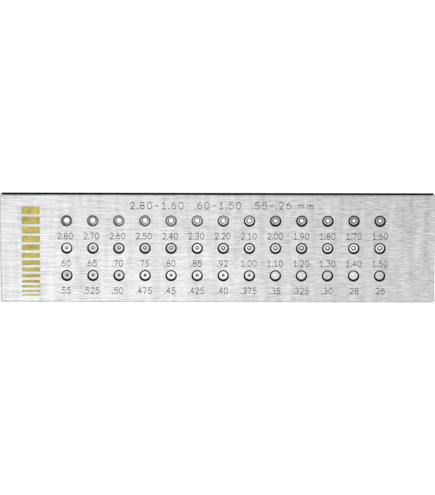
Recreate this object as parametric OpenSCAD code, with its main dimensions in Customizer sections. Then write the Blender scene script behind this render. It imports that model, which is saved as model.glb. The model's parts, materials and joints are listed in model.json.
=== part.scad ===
// Wire draw plate: a flat steel bar that holds three rows of carbide dies.
// Every die has another bore, and wire is pulled through them in falling order of size.
// The bar stands on its long edge. Wire enters at the back (+Y) and leaves at the front (-Y).
// The origin is the middle of the bar's underside. Sizes are in millimetres.

/* [Bar] */
// Length of the bar
bar_length = 240; // [226:1:300]
// Height of the bar as it stands
bar_height = 60; // [52:1:90]
// Thickness of the bar
bar_thickness = 10; // [9:0.5:16]
// Bevel along every edge of the bar
edge_bevel = 0.7; // [0.2:0.1:1.5]

/* [Die grid] */
// Distance between neighbouring columns of dies
column_pitch = 14.4; // [11:0.1:15]
// Distance between neighbouring rows of dies
row_pitch = 15.3; // [11:0.1:18]
// From the left end of the bar to the first column
left_margin = 36.8; // [10:0.1:50]
// From the underside of the bar to the lowest row
bottom_margin = 15; // [8:0.1:20]

/* [Die holes in the bar] */
// Diameter of the countersink where it meets the front face
sink_d = 6.4; // [5.4:0.1:9]
// Diameter of the opening in front of a die
opening_d = 4.7; // [3.6:0.1:6]
// Thickness of the lip that a die is pulled against
lip_t = 0.8; // [0.4:0.1:1.8]
// Bevel at the back end of a die hole
back_bevel = 0.6; // [0.2:0.1:1.2]

/* [Dies] */
// Outer diameter of a die
die_d = 8; // [7:0.1:10]
// Length of a die along the wire
die_length = 7; // [5:0.1:8]
// Bevel at both ends of a die
die_bevel = 0.3; // [0.1:0.05:0.6]
// Gap all round between a die and its hole
die_fit = 0.01; // [0.005:0.005:0.05]

/* [Wire path in a die] */
// Depth of the bell that the wire enters by
bell_depth = 1.6; // [0.8:0.1:2]
// Angle between the bell and the wire
bell_angle = 30; // [20:1:35]
// Angle between the narrowing cone and the wire
approach_angle = 8; // [5:0.5:10]
// Length of the straight bore in wire diameters
bearing_ratio = 0.4; // [0.3:0.05:0.8]
// Shortest straight bore
bearing_min = 0.4; // [0.2:0.05:0.8]
// Width of the exit cone round the finest wire
relief_width = 0.5; // [0.3:0.05:0.7]
// Width that the exit cone gains with each millimetre of wire diameter
relief_gain = 0.12; // [0:0.01:0.2]
// Angle between the exit cone and the wire in a fine die
relief_angle = 40; // [30:1:50]
// Angle between the exit cone and the wire in a wide die
wide_relief_angle = 60; // [45:1:70]
// Bore from which a die counts as wide
wide_from = 1.55; // [1:0.05:3]

/* [Hidden] */
$fn = 64;

// Wire diameter of each die, row by row from the top, left to right
BORES = [
    [2.80, 2.70, 2.60, 2.50, 2.40, 2.30, 2.20, 2.10, 2.00, 1.90, 1.80, 1.70, 1.60],
    [0.60, 0.65, 0.70, 0.75, 0.80, 0.85, 0.92, 1.00, 1.10, 1.20, 1.30, 1.40, 1.50],
    [0.55, 0.525, 0.50, 0.475, 0.45, 0.425, 0.40, 0.375, 0.35, 0.325, 0.30, 0.28, 0.26]
];
row_count = len(BORES);
column_count = len(BORES[0]);

// Depths measured from the front face
sink_depth = (sink_d - opening_d) / 2;
seat_depth = sink_depth + lip_t;

// A cutter runs this far past the face that it cuts
overcut = 1;

// Bores are written in hundredths in a die's name, and in thousandths where they need it
function digit(bore, place) = floor(round(bore * 1000) / place) % 10;
function last_digit(bore) = digit(bore, 1) > 0 ? str(digit(bore, 1)) : "";
function die_name(bore) =
    str("die_", digit(bore, 1000), "_", digit(bore, 100), digit(bore, 10), last_digit(bore));

function exit_angle(bore) = bore < wide_from ? relief_angle : wide_relief_angle;

function column_x(column) = left_margin - bar_length / 2 + column * column_pitch;
function row_z(row) = bottom_margin + (row_count - 1 - row) * row_pitch;

// A rectangle about the origin with its corners cut off
module bevelled_rectangle(width, height) {
    x = width / 2;
    y = height / 2;
    c = edge_bevel;
    polygon([
        [x - c, -y],
        [x, -y + c],
        [x, y - c],
        [x - c, y],
        [c - x, y],
        [-x, y - c],
        [-x, -y + c],
        [c - x, -y]
    ]);
}

// The bar without holes: three bevelled prisms crossing at right angles
module blank() {
    translate([0, 0, bar_height / 2])
        intersection() {
            linear_extrude(bar_height, center = true)
                bevelled_rectangle(bar_length, bar_thickness);
            rotate([90, 0, 0])
                linear_extrude(bar_thickness, center = true)
                    bevelled_rectangle(bar_length, bar_height);
            rotate([90, 0, 90])
                linear_extrude(bar_length, center = true)
                    bevelled_rectangle(bar_thickness, bar_height);
        }
}

// Turns a profile of [radius, depth] round the axis of one die, with depth 0 on the front face
module turned_at(row, column) {
    translate([column_x(column), -bar_thickness / 2, row_z(row)])
        rotate([-90, 0, 0])
            rotate_extrude()
                children();
}

// The hole for one die: countersink, opening and lip in front, the die's seat behind
module die_hole_profile() {
    seat_r = die_d / 2;
    polygon([
        [0, -overcut],
        [sink_d / 2 + overcut, -overcut],
        [opening_d / 2, sink_depth],
        [opening_d / 2, seat_depth],
        [seat_r, seat_depth],
        [seat_r, bar_thickness - back_bevel],
        [seat_r + back_bevel + overcut, bar_thickness + overcut],
        [0, bar_thickness + overcut]
    ]);
}

// One die: exit cone at the lip, straight bore, narrowing cone and bell at the back
module die_profile(bore) {
    outer_r = die_d / 2 - die_fit;
    front = seat_depth;
    back = front + die_length;
    bore_r = bore / 2;
    relief = relief_width + relief_gain * bore;
    bearing_start = front + relief / tan(exit_angle(bore));
    bearing_end = bearing_start + max(bearing_min, bearing_ratio * bore);
    bell_start = back - bell_depth;
    bell_r = bore_r + (bell_start - bearing_end) * tan(approach_angle);
    polygon([
        [bore_r + relief, front],
        [outer_r - die_bevel, front],
        [outer_r, front + die_bevel],
        [outer_r, back - die_bevel],
        [outer_r - die_bevel, back],
        [bell_r + bell_depth * tan(bell_angle), back],
        [bell_r, bell_start],
        [bore_r, bearing_end],
        [bore_r, bearing_start]
    ]);
}

module plate() {
    color("silver")
        difference() {
            blank();
            for (row = [0 : row_count - 1])
                for (column = [0 : column_count - 1])
                    turned_at(row, column)
                        die_hole_profile();
        }
}

module die(row, column) {
    color("gainsboro")
        turned_at(row, column)
            die_profile(BORES[row][column]);
}

plate();
for (row = [0 : row_count - 1])
    for (column = [0 : column_count - 1])
        die(row, column);
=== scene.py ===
"""Dresses a wire draw plate's solids: ground steel, carbide dies, engraved numbers and gold bars."""

import json
import math
import random

import bmesh
import bpy
from bpy.props import FloatProperty, FloatVectorProperty, IntProperty, PointerProperty, StringProperty
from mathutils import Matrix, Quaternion, Vector


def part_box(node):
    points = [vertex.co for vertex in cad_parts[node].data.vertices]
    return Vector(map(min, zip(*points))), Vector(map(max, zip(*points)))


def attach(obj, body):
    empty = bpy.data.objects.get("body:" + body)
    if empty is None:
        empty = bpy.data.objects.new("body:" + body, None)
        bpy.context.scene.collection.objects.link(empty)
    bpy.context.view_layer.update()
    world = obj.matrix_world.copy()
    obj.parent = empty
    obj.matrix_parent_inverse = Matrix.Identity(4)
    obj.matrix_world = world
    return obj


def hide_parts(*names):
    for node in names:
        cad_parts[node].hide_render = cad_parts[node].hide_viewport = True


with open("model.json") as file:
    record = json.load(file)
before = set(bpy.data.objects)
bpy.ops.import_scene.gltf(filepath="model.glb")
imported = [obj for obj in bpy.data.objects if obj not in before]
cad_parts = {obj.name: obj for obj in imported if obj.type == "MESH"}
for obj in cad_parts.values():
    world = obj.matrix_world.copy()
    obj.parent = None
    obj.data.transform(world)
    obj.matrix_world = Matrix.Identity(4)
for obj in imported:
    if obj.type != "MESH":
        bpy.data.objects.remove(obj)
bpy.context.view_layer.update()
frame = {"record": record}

bl_info = {
    "name": "Wire Draw Plate",
    "version": (1, 0, 0),
    "blender": (4, 5, 0),
    "location": "View3D > Sidebar > Draw Plate",
    "description": "Makes the visible pieces of a wire draw plate and the stage that it stands on",
    "category": "Object",
}

MM = 0.001
IMAGE_WIDTH, IMAGE_HEIGHT = 435, 495

# Points closer together than this, in metres, are one point
SAME_POINT = 1e-9
# Edges that turn by more than this stay sharp
SHARP_ANGLE = math.radians(30)
# Nearly all values of a noise lie between these, about their middle
NOISE_LOW, NOISE_MIDDLE, NOISE_HIGH = 0.3, 0.5, 0.7
# A Mix node's sockets for colours, which share their names with its other sockets
MIX_ONE, MIX_OTHER, MIX_RESULT = 6, 7, 2

# The plate and the wire bores as the solids have them
PLATE_LOW, PLATE_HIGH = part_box("plate")
WIRE_BORES = [m for m in frame["record"]["mounts"] if m["name"].startswith("wire_")]
COLUMN_XS = sorted({round(m["pos_m"][0], 6) for m in WIRE_BORES})
ROW_ZS = sorted({round(m["pos_m"][2], 6) for m in WIRE_BORES})
COLUMN_PITCH = COLUMN_XS[1] - COLUMN_XS[0]
ROW_PITCH = ROW_ZS[1] - ROW_ZS[0]


def length(name, description, default_mm):
    """A length property, given in millimetres and kept in metres."""
    default = default_mm * MM
    return FloatProperty(
        name=name, description=description, default=default, min=0.0, unit="LENGTH", precision=5
    )


def ratio(name, description, default):
    """A plain number property."""
    return FloatProperty(name=name, description=description, default=default, min=0.0)


def integer(name, description, default, least=0):
    """A whole number property."""
    return IntProperty(name=name, description=description, default=default, min=least)


def words(name, description, default):
    """A text property."""
    return StringProperty(name=name, description=description, default=default)


def slope(name, description, default_degrees):
    """An angle property, given in degrees."""
    default = math.radians(default_degrees)
    return FloatProperty(name=name, description=description, default=default, unit="ROTATION")


def tint(name, description, default):
    """A colour property in linear red, green and blue."""
    return FloatVectorProperty(
        name=name, description=description, default=default, min=0.0, max=1.0, subtype="COLOR"
    )


def location(name, description, default):
    """A point property in metres."""
    return FloatVectorProperty(
        name=name, description=description, default=default, subtype="TRANSLATION", unit="LENGTH"
    )


class PlateSizes(bpy.types.PropertyGroup):
    """Sizes of the plate and of the holes in it."""

    edge_bevel: length("Edge bevel", "Bevel along every edge of the plate", 0.7)
    edge_softening: length("Edge softening", "Rounding where a bevel meets a face", 0.12)
    sink_diameter: length("Countersink", "Diameter of a countersink at the front face", 6.4)
    opening_diameter: length("Opening", "Diameter of the opening in front of a die", 4.7)
    lip: length("Lip", "Thickness of the lip that a die is pulled against", 0.8)
    back_bevel: length("Back bevel", "Bevel at the back end of a die hole", 0.6)
    hole_sides: integer("Hole sides", "Sides that make a hole round", 72, least=16)


class DieSizes(bpy.types.PropertyGroup):
    """Sizes of the wire's path through a die, and how well the dies are polished."""

    bevel: length("Bevel", "Bevel at both ends of a die", 0.3)
    bell_depth: length("Bell depth", "Depth of the bell that the wire enters by", 1.6)
    bell_angle: slope("Bell angle", "Angle between the bell and the wire", 30)
    approach_angle: slope("Approach angle", "Angle between the narrowing cone and the wire", 8)
    bearing_ratio: ratio("Bearing ratio", "Length of the straight bore in wire diameters", 0.4)
    bearing_min: length("Shortest bearing", "Shortest straight bore", 0.4)
    relief_width: length("Relief width", "Width of the exit cone round the finest wire", 0.5)
    relief_gain: ratio("Relief gain", "Growth of the exit cone with the wire's diameter", 0.12)
    relief_angle: slope("Relief angle", "Angle between exit cone and wire in a fine die", 40)
    wide_relief_angle: slope("Wide relief angle", "Angle between exit cone and wire in a wide die", 60)
    wide_from: length("Wide from", "Bore from which a die counts as wide", 1.55)
    blend: length("Blend", "Rounding that polishing leaves between the cones", 0.12)
    # Painted shade: from this bore on, the cones get the near-black lapped colour
    lapped_and_shaded_from: length("Lapped from", "Finest bore whose cones keep their grey lapped finish", 0.36)
    # Painted light as well as polish: from this bore on, the throat's colour brightens towards the bore
    throat_from: length("Throat from", "Finest bore whose throat is polished bright", 0.58)
    cone_shine: ratio("Cone shine", "Shine of the finest dies' cones, and the wide ones' least", 0.655)
    throat_sharpness: ratio("Throat sharpness", "How suddenly a wide cone turns bright at its bore", 4)
    polish: ratio("Polish", "Polish of the face of a fine die, where 1 is best", 0.76)
    # Painted shade: a wide die's face is darkened through its lower polish, partly for a duller finish
    wide_polish_and_shade: ratio("Wide polish", "Polish of the face of a wide die", 0.42)
    dulled: words("Dulled", "Dies whose faces are duller", "1.70 1.60 .70 .75 .80 1.20 .55 .30 .26")
    dulling: ratio("Dulling", "How much of their polish the duller faces keep", 0.74)
    shining: words(
        "Shining",
        "Dies whose faces shine most",
        "2.70 2.60 2.50 2.40 2.30 2.20 2.10 .60 .85 1.40 1.50 .475 .45 .425 .40",
    )
    polish_spread: ratio("Polish spread", "How much the polish differs from die to die", 0.06)
    polish_seed: integer("Polish seed", "Seed of the differences in polish", 4)
    sides: integer("Sides", "Sides that make a die round", 64, least=16)


class EngravingSizes(bpy.types.PropertyGroup):
    """Sizes of the engraved numbers."""

    height: length("Number height", "Height of the numbers under the dies", 3.3)
    drop: length("Drop", "From the middle of a die down to the middle of its number", 8.45)
    aside: length("Aside", "How far the first number of a row stands to the left of its die", 0.9)
    creep: length("Creep", "How much wider the numbers are spaced than the dies", 0.08)
    line_width: length("Line width", "Width of an engraved line at the surface", 0.47)
    line_depth: length("Line depth", "Depth of an engraved line", 0.26)
    upright: ratio("Upright lines", "Weight of lines that run up and down against level ones", 0.62)
    narrowing: ratio("Narrowing", "Width of the digits under the dies against the heading's", 0.88)
    heading: words(
        "Heading",
        "Size ranges of the three rows, engraved along the top",
        "2.80-1.60  .60-1.50  .55-.26 mm",
    )
    heading_height: length("Heading height", "Height of the heading's numbers", 3.7)
    heading_aside: length("Heading aside", "How far to the right the heading's middle is", 2.5)
    heading_drop: length("Heading drop", "From the top of the plate to the middle of the heading", 5.8)
    heading_spread: ratio("Heading spread", "Spacing of the heading against plain spacing", 1.31)


class GoldBarSizes(bpy.types.PropertyGroup):
    """Sizes of the column of gold bars, graded as the wire sizes are."""

    count: integer("Bars", "Number of bars", 13, least=2)
    bar_length: length("Length", "Length of a bar", 10)
    first: length("Thickest", "Height of the top bar", 4.4)
    last: length("Thinnest", "Height of the bottom bar", 0.7)
    gap: length("Gap", "Gap between neighbouring bars", 1.4)
    left: length("Left margin", "From the left end of the plate to the bars", 12)
    top: length("Top margin", "From the top of the plate to the first bar", 6.4)
    recess: length("Recess", "Depth of the pocket that a bar lies in", 0.08)
    slack: length("Slack", "How much longer and higher a pocket is than its bar", 0.04)
    leaf: length("Leaf", "Thickness of the gold in its pocket", 0.06)


class Finishes(bpy.types.PropertyGroup):
    """Colours of the metals and of the stage."""

    steel: tint("Ground steel", "Colour of the ground faces", (0.571, 0.58, 0.578))
    # Painted shade and painted cool reflection: the ground faces' colour towards their upper left
    shaded_upper_steel: tint("Upper steel", "Colour of the faces at their upper left", (0.502, 0.508, 0.52))
    # Near-black; in the countersinks it also stands in for their shade as painted shade
    black: tint("Blackened steel", "Colour of the sides and countersinks", (0.016, 0.016, 0.018))
    line: tint("Engraved line", "Colour inside an engraved line", (0.165, 0.165, 0.17))
    carbide: tint("Polished carbide", "Colour of a die's polished face", (0.9, 0.9, 0.89))
    # Near-black cones: partly lapped carbide, partly painted shade
    lapped: tint("Lapped carbide", "Colour of the cones in a die", (0.06, 0.06, 0.06))
    gold: tint("Gold", "Colour of the gold bars", (0.41, 0.345, 0.105))
    floor: tint("Floor", "Colour of the floor", (0.9, 0.9, 0.9))


class StageSettings(bpy.types.PropertyGroup):
    """Camera, lamp and background."""

    distance: length("Camera distance", "From the camera to the plate's face", 1600)
    elevation: slope("Camera elevation", "How far the camera looks down on the plate", 9.6)
    roll: slope("Camera roll", "How far the camera leans to one side", 0.11)
    aim: length("Aim", "Height on the plate that the middle of the picture shows", 30.85)
    key_power: FloatProperty(
        name="Key lamp", description="Power of the large lamp at the left", default=9.1, unit="POWER"
    )
    key_place: location("Key lamp's place", "Where the large lamp stands", (-0.475, -1.35, 0.6))
    key_size: length("Key lamp's size", "Side of the large square lamp", 1200)
    world_light: ratio("World light", "Light from all round on matt surfaces, where 1 is white", 0.65)
    floor_lift: ratio("Floor lift", "Brightness added to the floor where it is seen", 0.46)


class DrawPlateSettings(bpy.types.PropertyGroup):
    """All that a user would change on the draw plate."""

    plate: PointerProperty(type=PlateSizes)
    dies: PointerProperty(type=DieSizes)
    engraving: PointerProperty(type=EngravingSizes)
    gold_bars: PointerProperty(type=GoldBarSizes)
    finishes: PointerProperty(type=Finishes)
    stage: PointerProperty(type=StageSettings)


# Node helpers

def put(socket, value):
    """Link a socket or set its value; a node stands for its first output."""
    if isinstance(value, bpy.types.Node):
        value = value.outputs[0]
    if isinstance(value, bpy.types.NodeSocket):
        socket.id_data.links.new(value, socket)
    else:
        socket.default_value = value


def feed(node, **inputs):
    """Link or set a node's inputs, named with underscores for spaces."""
    for key, value in inputs.items():
        put(node.inputs[key.replace("_", " ")], value)


def add_node(tree, kind, settings=None, **inputs):
    """A new node with its settings and inputs."""
    node = tree.nodes.new(kind)
    for key, value in (settings or {}).items():
        setattr(node, key, value)
    feed(node, **inputs)
    return node


def calc(tree, operation, *values):
    """A Math node, in a geometry tree or a shader tree."""
    node = add_node(tree, "ShaderNodeMath", {"operation": operation})
    for socket, value in zip(node.inputs, values):
        put(socket, value)
    return node


def combine(tree, x=0.0, y=0.0, z=0.0):
    """A vector from three values."""
    return add_node(tree, "ShaderNodeCombineXYZ", X=x, Y=y, Z=z)


def spread_to(tree, value, low, high, start=NOISE_LOW, end=NOISE_HIGH):
    """A value that runs from start to end, as a noise does, spread from low to high instead."""
    ends = {"From_Min": start, "From_Max": end, "To_Min": low, "To_Max": high}
    return add_node(tree, "ShaderNodeMapRange", Value=value, **ends)


SOCKETS = {float: "NodeSocketFloat", int: "NodeSocketInt", Vector: "NodeSocketVector"}


def new_tree(name, **inputs):
    """A geometry tree that takes a geometry, the named inputs and a material, with their sockets."""
    tree = bpy.data.node_groups.new(name, "GeometryNodeTree")
    tree.interface.new_socket("Geometry", in_out="INPUT", socket_type="NodeSocketGeometry")
    for key, kind in inputs.items():
        tree.interface.new_socket(key.replace("_", " "), in_out="INPUT", socket_type=SOCKETS[kind])
    tree.interface.new_socket("Material", in_out="INPUT", socket_type="NodeSocketMaterial")
    tree.interface.new_socket("Geometry", in_out="OUTPUT", socket_type="NodeSocketGeometry")
    return tree, tree.nodes.new("NodeGroupInput").outputs


def close_tree(tree, geometry, material):
    """End a tree in Realize Instances and Set Material."""
    real = add_node(tree, "GeometryNodeRealizeInstances", Geometry=geometry)
    dressed = add_node(tree, "GeometryNodeSetMaterial", Geometry=real, Material=material)
    out = tree.nodes.new("NodeGroupOutput")
    put(out.inputs[0], dressed)
    return tree


def united(tree, geometry):
    """One closed mesh from closed shells that overlap."""
    real = add_node(tree, "GeometryNodeRealizeInstances", Geometry=geometry)
    island = add_node(tree, "GeometryNodeInputMeshIsland")
    shells = add_node(
        tree, "GeometryNodeSplitToInstances", {"domain": "FACE"},
        Geometry=real, Group_ID=island.outputs["Island Index"],
    )
    whole = add_node(tree, "GeometryNodeMeshBoolean", {"operation": "UNION", "solver": "MANIFOLD"})
    put(whole.inputs[1], shells)
    return whole


def add_object(name, data):
    """A new object in the scene."""
    added = bpy.data.objects.new(name, data)
    bpy.context.collection.objects.link(added)
    return added


def grown(tree, wires, name, **values):
    """The plain mesh that a tree makes from wires, each value set by its socket's identifier."""
    source = add_object(name, wires)
    modifier = source.modifiers.new(name, "NODES")
    modifier.node_group = tree
    for item in tree.interface.items_tree:
        key = item.name.replace(" ", "_")
        if item.in_out == "INPUT" and key in values:
            modifier[item.identifier] = values[key]
    mesh = settled(source)
    bpy.data.objects.remove(source)
    bpy.data.meshes.remove(wires)
    if not mesh.polygons:
        raise RuntimeError(f"the tree {tree.name} made no faces")
    mesh.name = name
    return mesh


def settled(source):
    """The evaluated mesh of an object, free of its modifiers."""
    bpy.context.view_layer.update()
    depsgraph = bpy.context.evaluated_depsgraph_get()
    return bpy.data.meshes.new_from_object(source.evaluated_get(depsgraph), depsgraph=depsgraph)


def wire_mesh(name, chains):
    """A mesh of bare edges along chains of points; a chain that ends where it starts is closed."""
    points, edges = [], []
    for chain in chains:
        closed = len(chain) > 2 and (Vector(chain[0]) - Vector(chain[-1])).length < SAME_POINT
        own = chain[:-1] if closed else chain
        first = len(points)
        points.extend(own)
        edges.extend((first + i, first + i + 1) for i in range(len(own) - 1))
        if closed:
            edges.append((len(points) - 1, first))
    mesh = bpy.data.meshes.new(name)
    mesh.from_pydata(points, edges, [])
    return mesh


def is_flat(face):
    """True for a face that looks straight along an axis."""
    nearly_one = 0.99999
    return max(abs(part) for part in face.normal) > nearly_one


def smooth(mesh):
    """Shade a closed mesh smooth, but keep its sharper edges and the rims of its flat faces."""
    shape = bmesh.new()
    shape.from_mesh(mesh)
    for face in shape.faces:
        face.smooth = True
    for edge in shape.edges:
        one, other = edge.link_faces
        rim = is_flat(one) != is_flat(other)
        edge.smooth = not rim and edge.calc_face_angle() < SHARP_ANGLE
    shape.to_mesh(mesh)
    shape.free()


def add_piece(name, mesh, slot, *nodes):
    """Add a finished piece to the root body, and hide the CAD nodes that are named."""
    piece = add_object(name, mesh)
    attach(piece, "root")
    if nodes:
        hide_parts(*nodes)


# Geometry trees

def turned_ring_tree():
    """Turns a closed section of radius and depth round the wire's axis, its corners blended."""
    tree, given = new_tree("Turned ring", Sides=int, Blend=float, Place=Vector)
    blend_steps = 3
    section = add_node(tree, "GeometryNodeMeshToCurve", Mesh=given["Geometry"])
    rounded = add_node(
        tree, "GeometryNodeFilletCurve", {"mode": "POLY"},
        Curve=section, Count=blend_steps, Radius=given["Blend"], Limit_Radius=True,
    )
    # The section follows a small circle, so it is first moved inwards by that circle's radius
    path_radius = MM
    path = add_node(
        tree, "GeometryNodeCurvePrimitiveCircle", Resolution=given["Sides"], Radius=path_radius
    )
    shifted = add_node(tree, "GeometryNodeTransform", Geometry=rounded, Translation=(-path_radius, 0, 0))
    swept = add_node(tree, "GeometryNodeCurveToMesh", Curve=path, Profile_Curve=shifted)
    placed = add_node(
        tree, "GeometryNodeTransform",
        Geometry=swept, Translation=given["Place"], Rotation=(math.pi / 2, 0, 0),
    )
    return close_tree(tree, placed, given["Material"])


def drilled_grid_tree():
    """Turns an open chain of radius and depth into a plug, and repeats it over a grid of holes."""
    tree, given = new_tree(
        "Drilled grid",
        Columns=int, Rows=int, Column_Pitch=float, Row_Pitch=float, Middle=Vector, Sides=int,
    )
    chain = add_node(tree, "GeometryNodeMeshToCurve", Mesh=given["Geometry"])
    place = add_node(tree, "GeometryNodeInputPosition")
    split = add_node(tree, "ShaderNodeSeparateXYZ", Vector=place)
    kept = tree.nodes.new("GeometryNodeCaptureAttribute")
    kept.capture_items.new("FLOAT", "Radius")
    put(kept.inputs[0], chain)
    put(kept.inputs[1], split.outputs["X"])
    axis = add_node(
        tree, "GeometryNodeSetPosition",
        Geometry=kept, Position=combine(tree, y=split.outputs["Y"]),
    )
    ring = add_node(tree, "GeometryNodeCurvePrimitiveCircle", Resolution=given["Sides"], Radius=1.0)
    plug = add_node(
        tree, "GeometryNodeCurveToMesh",
        Curve=axis, Profile_Curve=ring, Scale=kept.outputs[1], Fill_Caps=True,
    )
    column_steps = calc(tree, "SUBTRACT", given["Columns"], 1)
    row_steps = calc(tree, "SUBTRACT", given["Rows"], 1)
    grid = add_node(
        tree, "GeometryNodeMeshGrid",
        Size_X=calc(tree, "MULTIPLY", column_steps, given["Column Pitch"]),
        Size_Y=calc(tree, "MULTIPLY", row_steps, given["Row Pitch"]),
        Vertices_X=given["Columns"],
        Vertices_Y=given["Rows"],
    )
    upright = add_node(
        tree, "GeometryNodeTransform",
        Geometry=grid, Translation=given["Middle"], Rotation=(math.pi / 2, 0, 0),
    )
    holes = add_node(tree, "GeometryNodeInstanceOnPoints", Points=upright, Instance=plug)
    return close_tree(tree, holes, given["Material"])


def engraved_line_tree():
    """Makes the cutter of a V-shaped line along each wire on the front face, with round ends."""
    tree, given = new_tree("Engraved line", Width=float, Depth=float, Upright=float)
    tip_sides = 12
    # A tip a little smaller than its groove shares no corner with it, so the two unite cleanly
    tip_share = 0.985
    # A ring of three sides and radius 1 is this high and wide, and its point is at 1
    vee_height, vee_width = 1.5, math.sqrt(3)

    width, depth = given["Width"], given["Depth"]
    tangent = add_node(tree, "GeometryNodeInputTangent")
    direction = add_node(tree, "ShaderNodeSeparateXYZ", Vector=tangent)
    level = calc(tree, "ABSOLUTE", direction.outputs["X"])
    weight = spread_to(tree, level, given["Upright"], 1.0, 0.0, 1.0)
    lines = add_node(tree, "GeometryNodeMeshToCurve", Mesh=given["Geometry"])
    facing = add_node(
        tree, "GeometryNodeSetCurveNormal", {"mode": "FREE"}, Curve=lines, Normal=(0, 1, 0)
    )
    # The V stands as high above the face as it cuts below it
    vee = add_node(tree, "GeometryNodeCurvePrimitiveCircle", Resolution=3, Radius=1.0)
    shaped = add_node(
        tree, "GeometryNodeTransform",
        Geometry=vee,
        Translation=combine(tree, calc(tree, "MULTIPLY", depth, 1 - 2 / vee_height)),
        Scale=combine(
            tree,
            calc(tree, "MULTIPLY", depth, 2 / vee_height),
            calc(tree, "MULTIPLY", width, 2 / vee_width),
            1.0,
        ),
    )
    grooves = add_node(
        tree, "GeometryNodeCurveToMesh",
        Curve=facing, Profile_Curve=shaped, Scale=weight, Fill_Caps=True,
    )
    cone = add_node(
        tree, "GeometryNodeMeshCone",
        Vertices=tip_sides, Radius_Top=0.0, Radius_Bottom=width, Depth=calc(tree, "MULTIPLY", depth, 2),
    )
    above = calc(tree, "MULTIPLY", depth, -1)
    point = add_node(
        tree, "GeometryNodeTransform",
        Geometry=cone, Translation=combine(tree, y=above), Rotation=(-math.pi / 2, 0, 0),
    )
    ends = add_node(tree, "GeometryNodeCurveEndpointSelection")
    snug = calc(tree, "MULTIPLY", weight, tip_share)
    tips = add_node(
        tree, "GeometryNodeInstanceOnPoints",
        Points=facing, Selection=ends, Instance=point, Scale=combine(tree, snug, snug, snug),
    )
    both = tree.nodes.new("GeometryNodeJoinGeometry")
    put(both.inputs[0], tips)
    put(both.inputs[0], grooves)
    return close_tree(tree, united(tree, both), given["Material"])


def graded_bars_tree():
    """Stacks bars down the front face, each thinner than the one above it."""
    tree, given = new_tree(
        "Graded bars",
        Count=int, Length=float, First=float, Last=float, Gap=float, Margin=float, Deep=float,
        Corner=Vector,
    )
    points = add_node(tree, "GeometryNodeMeshLine", Count=given["Count"], Offset=(0, 0, 0))
    index = add_node(tree, "GeometryNodeInputIndex")
    steps = calc(tree, "SUBTRACT", given["Count"], 1)
    change = calc(tree, "DIVIDE", calc(tree, "SUBTRACT", given["Last"], given["First"]), steps)
    thickness = calc(tree, "MULTIPLY_ADD", index, change, given["First"])
    # The bars above this one take up their own heights and gaps, and each height changes by one step
    pairs = calc(tree, "MULTIPLY", calc(tree, "MULTIPLY", index, calc(tree, "SUBTRACT", index, 1)), 0.5)
    plain = calc(tree, "MULTIPLY", index, calc(tree, "ADD", given["First"], given["Gap"]))
    above = calc(tree, "MULTIPLY_ADD", pairs, change, plain)
    middle = calc(tree, "MULTIPLY_ADD", thickness, 0.5, above)
    stacked = add_node(
        tree, "GeometryNodeSetPosition",
        Geometry=points,
        Position=combine(
            tree, calc(tree, "MULTIPLY", given["Length"], 0.5), 0.0, calc(tree, "MULTIPLY", middle, -1)
        ),
    )
    bar = add_node(tree, "GeometryNodeMeshCube", Size=(1, 1, 1))
    bars = add_node(
        tree, "GeometryNodeInstanceOnPoints",
        Points=stacked,
        Instance=bar,
        Scale=combine(
            tree,
            calc(tree, "ADD", given["Length"], given["Margin"]),
            given["Deep"],
            calc(tree, "ADD", thickness, given["Margin"]),
        ),
    )
    placed = add_node(tree, "GeometryNodeTransform", Geometry=bars, Translation=given["Corner"])
    return close_tree(tree, placed, given["Material"])


# Single-line numbers, drawn in a cell one unit high

def bow(x, z, rx, rz, start, end, steps=16):
    """Points along part of a squarish oval, between two angles in degrees."""
    squareness = 0.8
    count = max(3, round(steps * abs(end - start) / 360) + 1)
    points = []
    for i in range(count):
        turn = math.radians(start + (end - start) * i / (count - 1))
        across, up = math.cos(turn), math.sin(turn)
        points.append((
            x + rx * math.copysign(abs(across) ** squareness, across),
            z + rz * math.copysign(abs(up) ** squareness, up),
        ))
    return points


DIGIT_WIDTH = 0.64
GLYPHS = {
    "0": [bow(0.32, 0.5, 0.32, 0.5, 90, 450, 24)],
    "1": [[(0.1, 0.8), (0.34, 1.0)], [(0.34, 1.0), (0.34, 0.0)], [(0.08, 0.0), (0.6, 0.0)]],
    "2": [bow(0.32, 0.71, 0.3, 0.29, 170, -30) + [(0.04, 0.0)], [(0.04, 0.0), (0.62, 0.0)]],
    "3": [bow(0.31, 0.755, 0.27, 0.245, 155, -90), bow(0.31, 0.255, 0.33, 0.255, 90, -155)],
    "4": [[(0.47, 0.0), (0.47, 1.0)], [(0.47, 1.0), (0.0, 0.3)], [(0.0, 0.3), (0.64, 0.3)]],
    "5": [
        [(0.58, 1.0), (0.12, 1.0)],
        [(0.12, 1.0), (0.08, 0.55)],
        bow(0.3, 0.32, 0.34, 0.32, 135, -150),
    ],
    "6": [bow(0.32, 0.3, 0.31, 0.3, 0, 360, 18), bow(0.66, 0.3, 0.65, 0.7, 105, 180)],
    "7": [[(0.02, 0.84), (0.02, 1.0)], [(0.02, 1.0), (0.63, 1.0)], [(0.63, 1.0), (0.24, 0.0)]],
    "8": [bow(0.32, 0.755, 0.26, 0.245, -90, 270, 18), bow(0.32, 0.255, 0.31, 0.255, 90, 450, 18)],
    "9": [bow(0.32, 0.7, 0.31, 0.3, 0, 360, 18), bow(-0.02, 0.7, 0.65, 0.7, -75, 0)],
    ".": [[(-0.06, 0.04), (0.06, 0.04)], [(0.0, -0.02), (0.0, 0.1)]],
    "-": [[(0.08, 0.45), (0.52, 0.45)]],
    "m": [
        [(0.0, 0.0), (0.0, 0.62)],
        bow(0.2, 0.4, 0.2, 0.22, 180, 0) + [(0.4, 0.0)],
        bow(0.6, 0.4, 0.2, 0.22, 180, 0) + [(0.8, 0.0)],
    ],
    " ": [],
}
ADVANCE = {".": 0.29, "-": 0.8, "m": 1.06, " ": 0.5}
DIGIT_ADVANCE = 0.83


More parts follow.
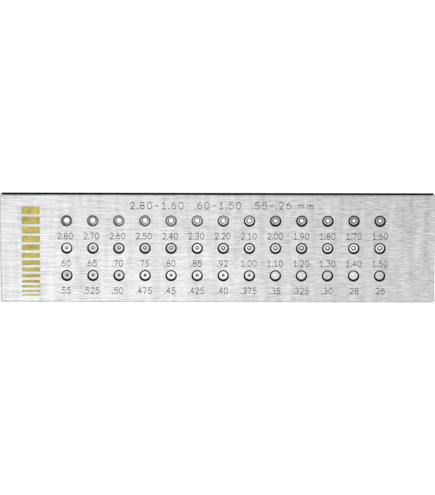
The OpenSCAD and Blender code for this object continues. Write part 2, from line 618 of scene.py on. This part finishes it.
def written(text, x, z, height, spread=1.0, narrowing=1.0):
    """Chains of points that write a text on the front face, centred on a place."""
    steps = [ADVANCE.get(character, DIGIT_ADVANCE) * spread for character in text]
    left = -(sum(steps) - DIGIT_ADVANCE * spread + DIGIT_WIDTH * narrowing) / 2
    face = PLATE_LOW.y
    chains = []
    for character, step in zip(text, steps):
        for stroke in GLYPHS[character]:
            chains.append([
                (x + (left + u * narrowing) * height, face, z + (v - 0.5) * height) for u, v in stroke
            ])
        left += step
    return chains


def size_text(mount):
    """The wire size that a bore's name holds, as it is engraved: no nought before the point."""
    whole, parts = mount["name"].split("_")[1:]
    return ("" if whole == "0" else whole) + "." + parts


# Materials

def new_material(name, color, metallic, roughness):
    """A material with its Principled shader set, and its tree and shader."""
    material = bpy.data.materials.new(name)
    material.use_nodes = True
    tree = material.node_tree
    shader = tree.nodes["Principled BSDF"]
    feed(shader, Base_Color=(*color, 1), Metallic=metallic, Roughness=roughness)
    return material, tree, shader


def noise(tree, feature, detail=3.0):
    """Noise over the piece, whose features have the given size in millimetres along X, Y and Z."""
    place = add_node(tree, "ShaderNodeTexCoord")
    scale = [1 / (size * MM) for size in feature]
    stretched = add_node(tree, "ShaderNodeMapping", Vector=place.outputs["Object"], Scale=scale)
    grain = add_node(tree, "ShaderNodeTexNoise", Vector=stretched, Scale=1.0, Detail=detail)
    return grain.outputs["Fac"]


def blended(tree, *parts):
    """A factor about 1 that follows several noises, each given with its weight."""
    total = 1.0
    for value, weight in parts:
        total = calc(tree, "MULTIPLY_ADD", calc(tree, "SUBTRACT", value, NOISE_MIDDLE), weight, total)
    return total


def shaded(tree, color, factor):
    """A colour times a factor that varies over the piece."""
    return add_node(tree, "ShaderNodeVectorMath", {"operation": "SCALE"}, Vector=color, Scale=factor)


def mixed(tree, factor, one, other):
    """A colour that runs from one to the other as the factor runs from 0 to 1."""
    node = add_node(tree, "ShaderNodeMix", {"data_type": "RGBA"}, Factor=factor)
    put(node.inputs[MIX_ONE], one)
    put(node.inputs[MIX_OTHER], other)
    return node.outputs[MIX_RESULT]


def bumped(tree, shader, height, strength, distance):
    """Relief on a shader from a varying height."""
    bump = add_node(tree, "ShaderNodeBump", Strength=strength, Distance=distance, Height=height)
    feed(shader, Normal=bump)


def place_on_piece(tree):
    """The X, Y and Z of a place on the piece, in metres."""
    place = add_node(tree, "ShaderNodeTexCoord").outputs["Object"]
    return add_node(tree, "ShaderNodeSeparateXYZ", Vector=place).outputs


def upper_left(tree, low_mm, high_mm):
    """A factor that grows from 0 to 1 to the plate's upper left, between two heights at its middle."""
    rise_to_right = 0.15
    place = place_on_piece(tree)
    height = calc(tree, "MULTIPLY_ADD", place["X"], -rise_to_right, place["Z"])
    return spread_to(tree, height, 0.0, 1.0, low_mm * MM, high_mm * MM)


def ground_steel(finishes):
    """Steel ground along its length, with painted shade and a painted cool reflection making it darker
    and cooler at its upper left.

    Short streaks grow stronger to the right and long ones to the left, over scratches and wheel marks.
    """
    material, tree, shader = new_material("ground_steel", finishes.steel, 1.0, 0.37)
    feed(shader, Anisotropic=0.9, Anisotropic_Rotation=0.25)
    streaks = noise(tree, (4.5, 4.5, 0.38), detail=2.0)
    long_streaks = noise(tree, (15, 15, 0.38), detail=2.0)
    scratches = noise(tree, (40, 40, 0.22), detail=2.0)
    wheel_marks = noise(tree, (4.5, 4.5, 30), detail=2.0)
    along = place_on_piece(tree)["X"]
    short_share = spread_to(tree, along, 0.7, 1.45, PLATE_LOW.x, PLATE_HIGH.x)
    long_share = spread_to(tree, along, 1.0, 0.4, PLATE_LOW.x, PLATE_HIGH.x)
    light = blended(
        tree, (streaks, short_share), (long_streaks, long_share), (scratches, 0.25), (wheel_marks, 0.5)
    )
    # Painted shade and painted cool reflection: the colour turns darker and bluer towards the upper left
    color = mixed(tree, upper_left(tree, 15, 65), (*finishes.steel, 1), (*finishes.shaded_upper_steel, 1))
    feed(shader, Base_Color=shaded(tree, color, light), Roughness=spread_to(tree, streaks, 0.32, 0.42))
    bumped(tree, shader, blended(tree, (streaks, 0.5), (scratches, 0.5)), 0.25, 0.03 * MM)
    return material


def dark_skin_and_shade(name, finishes):
    """A material with a matt dark skin, which in the countersinks also stands in for their shade as
    painted shade; its tree and shader, and a factor for the skin's patches.
    """
    material, tree, shader = new_material(name, finishes.black, 0.0, 0.6)
    feed(shader, Specular_IOR_Level=0.0)
    skin = noise(tree, (5, 5, 2), detail=5.0)
    bumped(tree, shader, skin, 0.15, 0.05 * MM)
    return material, tree, shader, spread_to(tree, skin, 0.5, 1.6)


def blackened_steel(finishes):
    """The dark skin in the countersinks, also painted shade there, and painted lighter towards the upper
    left as painted light.
    """
    material, tree, shader, patches = dark_skin_and_shade("blackened_steel", finishes)
    # Painted light: the countersinks' black is made up to nine times lighter towards the upper left
    painted_light = spread_to(tree, upper_left(tree, 41, 47), 1.0, 9.0, 0.0, 1.0)
    light = calc(tree, "MULTIPLY", painted_light, patches)
    feed(shader, Base_Color=shaded(tree, finishes.black, light))
    return material


def worn_black(finishes, edge):
    """The dark skin on the plate's sides, rubbed through to the steel in places along their edges."""
    material, tree, shader, patches = dark_skin_and_shade("worn_black", finishes)
    worn_width = 0.8 * MM
    rubbing = noise(tree, (6, 0.6, 6), detail=4.0)
    aside = calc(tree, "ABSOLUTE", place_on_piece(tree)["Y"])
    nearness = spread_to(tree, aside, 0.0, 1.0, edge - worn_width, edge)
    worn = spread_to(tree, calc(tree, "MULTIPLY", nearness, rubbing), 0.0, 1.0, 0.4, 0.6)
    dark = shaded(tree, finishes.black, patches)
    feed(shader, Base_Color=mixed(tree, worn, dark, (*finishes.steel, 1)), Metallic=worn)
    return material


def engraved_steel(finishes):
    """The dull floor of an engraved line."""
    material, tree, shader = new_material("engraved_steel", finishes.line, 0.6, 0.5)
    grain = noise(tree, (1, 1, 1), detail=2.0)
    feed(shader, Base_Color=shaded(tree, finishes.line, spread_to(tree, grain, 0.7, 1.3)))
    return material


def polished_carbide(finishes):
    """Carbide polished on its face; the attribute named polish says how well, from 0 to 1, and the less
    polished faces are painted darker, partly as painted shade.
    """
    material, tree, shader = new_material("polished_carbide", finishes.carbide, 1.0, 0.16)
    grain = noise(tree, (0.7, 0.7, 0.7))
    polish = add_node(tree, "ShaderNodeAttribute", {"attribute_name": "polish"}).outputs["Fac"]
    # Painted shade: lower polish darkens the face's colour, partly for a duller finish
    finish_and_painted_light = spread_to(tree, polish, 0.2, 1.0, 0.0, 1.0)
    light = calc(tree, "MULTIPLY", spread_to(tree, grain, 0.92, 1.06), finish_and_painted_light)
    roughness = spread_to(tree, polish, 0.34, 0.14, 0.0, 1.0)
    feed(shader, Base_Color=shaded(tree, finishes.carbide, light), Roughness=roughness)
    return material


def lapped_carbide(finishes):
    """The near-black cones of a die, partly lapped and partly painted shade; the attribute named throat
    says how bright, up to 1 at the bore, partly a polished throat and partly painted light.
    """
    material, tree, shader = new_material("lapped_carbide", finishes.lapped, 1.0, 0.35)
    brightens, brightest = 0.62, 0.9
    grain = noise(tree, (0.5, 0.5, 0.5))
    throat = add_node(tree, "ShaderNodeAttribute", {"attribute_name": "throat"}).outputs["Fac"]
    # Painted light: the cone's colour brightens up to fifteen times towards the bore, partly for a
    # polished throat
    finish_and_painted_light = spread_to(tree, throat, 1.0, 15.0, brightens, brightest)
    light = calc(tree, "MULTIPLY", spread_to(tree, grain, 0.85, 1.15), finish_and_painted_light)
    roughness = spread_to(tree, throat, 0.35, 0.2, brightens, brightest)
    feed(shader, Base_Color=shaded(tree, finishes.lapped, light), Roughness=roughness)
    return material


def gold_leaf(finishes):
    """Gold stamped into the steel, taking up some of its streaks."""
    material, tree, shader = new_material("gold_leaf", finishes.gold, 1.0, 0.35)
    streaks = noise(tree, (6, 6, 0.8))
    wear = noise(tree, (3, 3, 3), detail=4.0)
    light = blended(tree, (streaks, 0.8), (wear, 1.1))
    roughness = spread_to(tree, streaks, 0.28, 0.45)
    feed(shader, Base_Color=shaded(tree, finishes.gold, light), Roughness=roughness)
    bumped(tree, shader, streaks, 0.2, 0.02 * MM)
    return material


# Pieces

def settings():
    """The draw plate's settings in this scene."""
    return bpy.context.scene.draw_plate


def die_node(mount):
    """The CAD node of the die that has a wire bore."""
    return mount["name"].replace("wire_", "die_")


def hole_chain(sizes, die_diameter):
    """Radius and depth down a die hole, from in front of the face to behind the plate."""
    thick = PLATE_HIGH.y - PLATE_LOW.y
    past = 1.0 * MM
    sink = (sizes.sink_diameter - sizes.opening_diameter) / 2
    seat = sink + sizes.lip
    # Two rings at one depth would share a place on the hole's axis
    step = 0.002 * MM
    return [
        (sizes.sink_diameter / 2 + past, -past, 0),
        (sizes.opening_diameter / 2, sink, 0),
        (sizes.opening_diameter / 2, seat - step, 0),
        (die_diameter / 2, seat, 0),
        (die_diameter / 2, thick - sizes.back_bevel, 0),
        (die_diameter / 2 + sizes.back_bevel + past, thick + past, 0),
    ]


def bevelled_block(sizes):
    """The plate's block with bevelled edges, before anything is cut into it."""
    mesh = bpy.data.meshes.new("block")
    low, high = PLATE_LOW, PLATE_HIGH
    corners = [(x, y, z) for x in (low.x, high.x) for y in (low.y, high.y) for z in (low.z, high.z)]
    sides = [(0, 1, 3, 2), (4, 6, 7, 5), (0, 4, 5, 1), (2, 3, 7, 6), (0, 2, 6, 4), (1, 5, 7, 3)]
    mesh.from_pydata(corners, [], sides)
    block = add_object("block", mesh)
    least_angle = math.radians(20)
    bevels = (("bevel", sizes.edge_bevel, 1), ("softening", sizes.edge_softening, 2))
    for label, width, segments in bevels:
        modifier = block.modifiers.new(label, "BEVEL")
        modifier.width = width
        modifier.segments = segments
        modifier.limit_method = "ANGLE"
        modifier.angle_limit = least_angle
        modifier.use_clamp_overlap = False
    block.data = settled(block)
    block.modifiers.clear()
    return block


def cut_from(block, mesh):
    """Take a cutter's shape out of the block; the cut faces keep the cutter's material."""
    cutter = add_object(mesh.name, mesh)
    modifier = block.modifiers.new(mesh.name, "BOOLEAN")
    modifier.operation = "DIFFERENCE"
    modifier.solver = "MANIFOLD"
    modifier.material_mode = "TRANSFER"
    modifier.object = cutter
    faces_before = len(block.data.polygons)
    block.data = settled(block)
    if len(block.data.polygons) <= faces_before:
        raise RuntimeError(f"the cutter {mesh.name} cut nothing")
    block.modifiers.clear()
    bpy.data.objects.remove(cutter)


def outward(mesh):
    """Turn the faces of closed shells outwards."""
    shells = bmesh.new()
    shells.from_mesh(mesh)
    bmesh.ops.recalc_face_normals(shells, faces=shells.faces)
    shells.to_mesh(mesh)
    shells.free()
    return mesh


def gold_bar_mesh(sizes, deep, margin, material):
    """The column of bars, or the cutter of its pockets, with its middle in the front face."""
    corner = Vector((PLATE_LOW.x + sizes.left, PLATE_LOW.y, PLATE_HIGH.z - sizes.top))
    return grown(
        graded_bars_tree(), bpy.data.meshes.new("no_wires"), "gold_bars",
        Count=sizes.count, Length=sizes.bar_length, First=sizes.first, Last=sizes.last, Gap=sizes.gap,
        Margin=margin, Deep=deep, Corner=corner, Material=material,
    )


def blacken_sides(mesh):
    """Give the plate's top, underside and ends the second material."""
    nearly_one = 0.99
    for face in mesh.polygons:
        looks_aside = max(abs(face.normal.x), abs(face.normal.z)) > nearly_one
        if looks_aside and face.material_index == 0:
            face.material_index = 1


class DRAWPLATE_OT_plate(bpy.types.Operator):
    """Make the plate: a bevelled block with die holes, engraved numbers and pockets for the gold"""

    bl_idname = "draw_plate.plate"
    bl_label = "Plate"

    def execute(self, context):
        chosen = settings()
        sizes, bars = chosen.plate, chosen.gold_bars
        steel = ground_steel(chosen.finishes)
        black = blackened_steel(chosen.finishes)
        engraved = engraved_steel(chosen.finishes)
        block = bevelled_block(sizes)
        block.data.materials.append(steel)
        block.data.materials.append(worn_black(chosen.finishes, PLATE_HIGH.y - sizes.edge_bevel))
        cut_from(block, self.holes(sizes, black))
        cut_from(block, self.grooves(chosen.engraving, engraved))
        cut_from(block, gold_bar_mesh(bars, 2 * bars.recess, bars.slack, engraved))
        mesh = block.data
        bpy.data.objects.remove(block)
        blacken_sides(mesh)
        smooth(mesh)
        add_piece("drilled_plate", mesh, "ground_steel", "plate")
        return {"FINISHED"}

    @staticmethod
    def holes(sizes, material):
        """The cutter of the die holes."""
        die_low, die_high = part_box(die_node(WIRE_BORES[0]))
        middle_x = (COLUMN_XS[0] + COLUMN_XS[-1]) / 2
        middle_z = (ROW_ZS[0] + ROW_ZS[-1]) / 2
        mesh = grown(
            drilled_grid_tree(), wire_mesh("hole", [hole_chain(sizes, die_high.x - die_low.x)]), "holes",
            Columns=len(COLUMN_XS), Rows=len(ROW_ZS), Column_Pitch=COLUMN_PITCH, Row_Pitch=ROW_PITCH,
            Middle=Vector((middle_x, PLATE_LOW.y, middle_z)), Sides=sizes.hole_sides, Material=material,
        )
        return outward(mesh)

    @staticmethod
    def grooves(lines, material):
        """The cutter of the heading and of the number under each die."""
        chains = written(
            lines.heading, lines.heading_aside, PLATE_HIGH.z - lines.heading_drop, lines.heading_height,
            spread=lines.heading_spread,
        )
        for mount in WIRE_BORES:
            x, _, z = mount["pos_m"]
            column = round((x - COLUMN_XS[0]) / COLUMN_PITCH)
            aside = column * lines.creep - lines.aside
            chains += written(
                size_text(mount), x + aside, z - lines.drop, lines.height, narrowing=lines.narrowing
            )
        return grown(
            engraved_line_tree(), wire_mesh("numbers", chains), "grooves",
            Width=lines.line_width, Depth=lines.line_depth, Upright=lines.upright, Material=material,
        )


class DRAWPLATE_OT_dies(bpy.types.Operator):
    """Make the carbide dies, each turned to its own bore"""

    bl_idname = "draw_plate.dies"
    bl_label = "Dies"

    def execute(self, context):
        chosen = settings()
        sizes = chosen.dies
        carbide = polished_carbide(chosen.finishes)
        lapped = lapped_carbide(chosen.finishes)
        tree = turned_ring_tree()
        chance = random.Random(sizes.polish_seed)
        for mount in WIRE_BORES:
            node = die_node(mount)
            x, _, z = mount["pos_m"]
            bore = 2 * mount["dims"]["r_mm"] * MM
            low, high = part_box(node)
            front = Vector((x, low.y, z))
            section = self.section(sizes, bore, (high.x - low.x) / 2, high.y - low.y)
            mesh = grown(
                tree, wire_mesh("section", [section]), node,
                Sides=sizes.sides, Blend=sizes.blend, Material=carbide, Place=front,
            )
            polish = self.polish(sizes, bore, size_text(mount))
            polish += chance.uniform(-sizes.polish_spread, sizes.polish_spread)
            self.finish(mesh, sizes, bore, front, lapped, polish)
            add_piece("carbide_" + node, mesh, "carbide", node)
        return {"FINISHED"}

    @staticmethod
    def polish(sizes, bore, number):
        """How well a die's face is polished, from 0 to 1."""
        if number in sizes.shining.split():
            return 1.0
        usual = sizes.wide_polish_and_shade if bore > sizes.wide_from else sizes.polish
        return usual * sizes.dulling if number in sizes.dulled.split() else usual

    @staticmethod
    def relief(sizes, bore):
        """Width and depth of a die's exit cone."""
        width = sizes.relief_width + sizes.relief_gain * bore
        angle = sizes.wide_relief_angle if bore > sizes.wide_from else sizes.relief_angle
        return width, width / math.tan(angle)

    def finish(self, mesh, sizes, bore, front, lapped, polish):
        """Shade a die smooth, finish its cones with their painted shade, and note how well its face is
        polished and how bright its throat is painted.
        """
        smooth(outward(mesh))
        mesh.materials.append(lapped)
        # The normals of a die's flat ends lie along the wire by more than this
        flat_end = 0.95
        widest = max(point.co.x for point in mesh.vertices) - front.x - 2 * sizes.bevel
        for face in mesh.polygons:
            in_path = math.hypot(face.center.x - front.x, face.center.z - front.z) < widest
            if in_path and abs(face.normal.y) < flat_end and bore > sizes.lapped_and_shaded_from:
                face.material_index = 1
        faces = mesh.attributes.new("polish", "FLOAT", "POINT")
        faces.data.foreach_set("value", [polish] * len(mesh.vertices))
        throats = mesh.attributes.new("throat", "FLOAT", "POINT")
        for value, point in zip(throats.data, mesh.vertices):
            value.value = self.throat(sizes, bore, point.co.y - front.y)

    def throat(self, sizes, bore, depth):
        """How bright the wire's path in a die is at one depth, up to 1 at the bore."""
        if bore < sizes.throat_from:
            return sizes.cone_shine
        _, relief_depth = self.relief(sizes, bore)
        from_rim = min(1.0, depth / relief_depth)
        if bore < sizes.wide_from:
            return from_rim
        return max(sizes.cone_shine, from_rim ** sizes.throat_sharpness)

    def section(self, sizes, bore, outer, deep):
        """Radius and depth round a die's section, from its front face to its back and home again."""
        relief, bearing_start = self.relief(sizes, bore)
        bearing_end = bearing_start + max(sizes.bearing_min, sizes.bearing_ratio * bore)
        bell_start = deep - sizes.bell_depth
        bell = bore / 2 + (bell_start - bearing_end) * math.tan(sizes.approach_angle)
        mouth = bell + sizes.bell_depth * math.tan(sizes.bell_angle)
        corners = [
            (bore / 2 + relief, 0, 0),
            (outer - sizes.bevel, 0, 0),
            (outer, sizes.bevel, 0),
            (outer, deep - sizes.bevel, 0),
            (outer - sizes.bevel, deep, 0),
            (mouth, deep, 0),
            (bell, bell_start, 0),
            (bore / 2, bearing_end, 0),
            (bore / 2, bearing_start, 0),
        ]
        return corners + corners[:1]


class DRAWPLATE_OT_gold_bars(bpy.types.Operator):
    """Make the gold bars that lie in pockets at the left end of the plate"""

    bl_idname = "draw_plate.gold_bars"
    bl_label = "Gold bars"

    def execute(self, context):
        chosen = settings()
        sizes = chosen.gold_bars
        mesh = gold_bar_mesh(sizes, sizes.leaf, 0.0, gold_leaf(chosen.finishes))
        # The leaf lies on the floor of its pocket
        for vertex in mesh.vertices:
            vertex.co.y += sizes.recess - sizes.leaf / 2
        add_piece("gold_bars", outward(mesh), "ground_steel")
        return {"FINISHED"}


class DRAWPLATE_OT_stage(bpy.types.Operator):
    """Set the floor, the world, the lamp and the camera"""

    bl_idname = "draw_plate.stage"
    bl_label = "Stage"

    def execute(self, context):
        chosen = settings()
        scene = context.scene
        scene.view_settings.view_transform = "Standard"
        self.floor(chosen)
        self.world(scene, chosen.stage)
        self.lamp(chosen.stage)
        self.camera(scene, chosen.stage)
        return {"FINISHED"}

    @staticmethod
    def looks(tree):
        """Two factors: 1 where the camera sees a surface, and 1 where metal or glass shows it."""
        path = add_node(tree, "ShaderNodeLightPath").outputs
        mirrored = calc(tree, "MAXIMUM", path["Is Glossy Ray"], path["Is Transmission Ray"])
        return path["Is Camera Ray"], mirrored

    def floor(self, chosen):
        """A large pale floor that ends in the white of the world, and is as white as that in metal."""
        half_side = 4.0
        mesh = bpy.data.meshes.new("floor")
        corners = [(x * half_side, y * half_side, 0) for x, y in ((-1, -1), (1, -1), (1, 1), (-1, 1))]
        mesh.from_pydata(corners, [], [(0, 1, 2, 3)])
        material, tree, shader = new_material("floor", chosen.finishes.floor, 0.0, 0.8)
        feed(shader, Specular_IOR_Level=0.0, Emission_Color=(1, 1, 1, 1))
        seen, mirrored = self.looks(tree)
        unmirrored = calc(tree, "SUBTRACT", 1.0, mirrored)
        color = shaded(tree, chosen.finishes.floor, unmirrored)
        lift = calc(tree, "MULTIPLY_ADD", seen, chosen.stage.floor_lift, mirrored)
        feed(shader, Base_Color=color, Emission_Strength=lift)
        material.cycles.emission_sampling = "NONE"
        mesh.materials.append(material)
        floor = add_object("floor", mesh)

    def world(self, scene, stage):
        """A white world that lights matt surfaces less than it shows."""
        world = bpy.data.worlds.new("studio")
        world.use_nodes = True
        tree = world.node_tree
        background = tree.nodes["Background"]
        shown = calc(tree, "MAXIMUM", *self.looks(tree))
        strength = spread_to(tree, shown, stage.world_light, 1.0, 0.0, 1.0)
        feed(background, Color=(1, 1, 1, 1), Strength=strength)
        world.cycles.sampling_method = "NONE"
        scene.world = world

    @staticmethod
    def lamp(stage):
        """A large square lamp that faces the middle of the plate."""
        light = bpy.data.lights.new("key", "AREA")
        light.energy = stage.key_power
        light.size = stage.key_size
        lamp = add_object("key", light)
        lamp.location = stage.key_place
        aim = (PLATE_LOW + PLATE_HIGH) / 2 - lamp.location
        lamp.rotation_euler = aim.to_track_quat("-Z", "Y").to_euler()

    @staticmethod
    def camera(scene, stage):
        """A long lens in front, with the plate across the whole width of the picture."""
        camera = bpy.data.cameras.new("camera")
        middle = Vector((0, PLATE_LOW.y, PLATE_LOW.z + stage.aim))
        away = Vector((0, -math.cos(stage.elevation), math.sin(stage.elevation)))
        view = add_object("camera", camera)
        view.location = middle + away * stage.distance
        turn = (-away).to_track_quat("-Z", "Y") @ Quaternion((0, 0, 1), stage.roll)
        view.rotation_euler = turn.to_euler()
        plate_width = PLATE_HIGH.x - PLATE_LOW.x
        # The sensor's width spans the longer side of the picture, which is its height
        picture_height = plate_width * IMAGE_HEIGHT / IMAGE_WIDTH
        camera.lens = camera.sensor_width * stage.distance / picture_height
        scene.camera = view


class DRAWPLATE_PT_pieces(bpy.types.Panel):
    """Lists the pieces of the draw plate and their sizes"""

    bl_idname = "DRAWPLATE_PT_pieces"
    bl_label = "Wire Draw Plate"
    bl_space_type = "VIEW_3D"
    bl_region_type = "UI"
    bl_category = "Draw Plate"

    def draw(self, context):
        chosen = settings()
        for operator in OPERATORS:
            self.layout.operator(operator.bl_idname)
        for group in DrawPlateSettings.__annotations__:
            box = self.layout.box()
            box.label(text=group.replace("_", " ").capitalize())
            values = getattr(chosen, group)
            for key in values.__annotations__:
                box.prop(values, key)


GROUPS = (PlateSizes, DieSizes, EngravingSizes, GoldBarSizes, Finishes, StageSettings, DrawPlateSettings)
OPERATORS = (DRAWPLATE_OT_plate, DRAWPLATE_OT_dies, DRAWPLATE_OT_gold_bars, DRAWPLATE_OT_stage)
CLASSES = GROUPS + OPERATORS + (DRAWPLATE_PT_pieces,)


def register():
    """Tell Blender of the settings, the operators and the panel."""
    for item in CLASSES:
        bpy.utils.register_class(item)
    bpy.types.Scene.draw_plate = PointerProperty(type=DrawPlateSettings)


def unregister():
    """Take back what register told Blender."""
    del bpy.types.Scene.draw_plate
    for item in reversed(CLASSES):
        bpy.utils.unregister_class(item)


def main():
    """Make every piece and the stage."""
    register()
    bpy.ops.draw_plate.plate()
    bpy.ops.draw_plate.dies()
    bpy.ops.draw_plate.gold_bars()
    bpy.ops.draw_plate.stage()


if __name__ == "__main__":
    main()
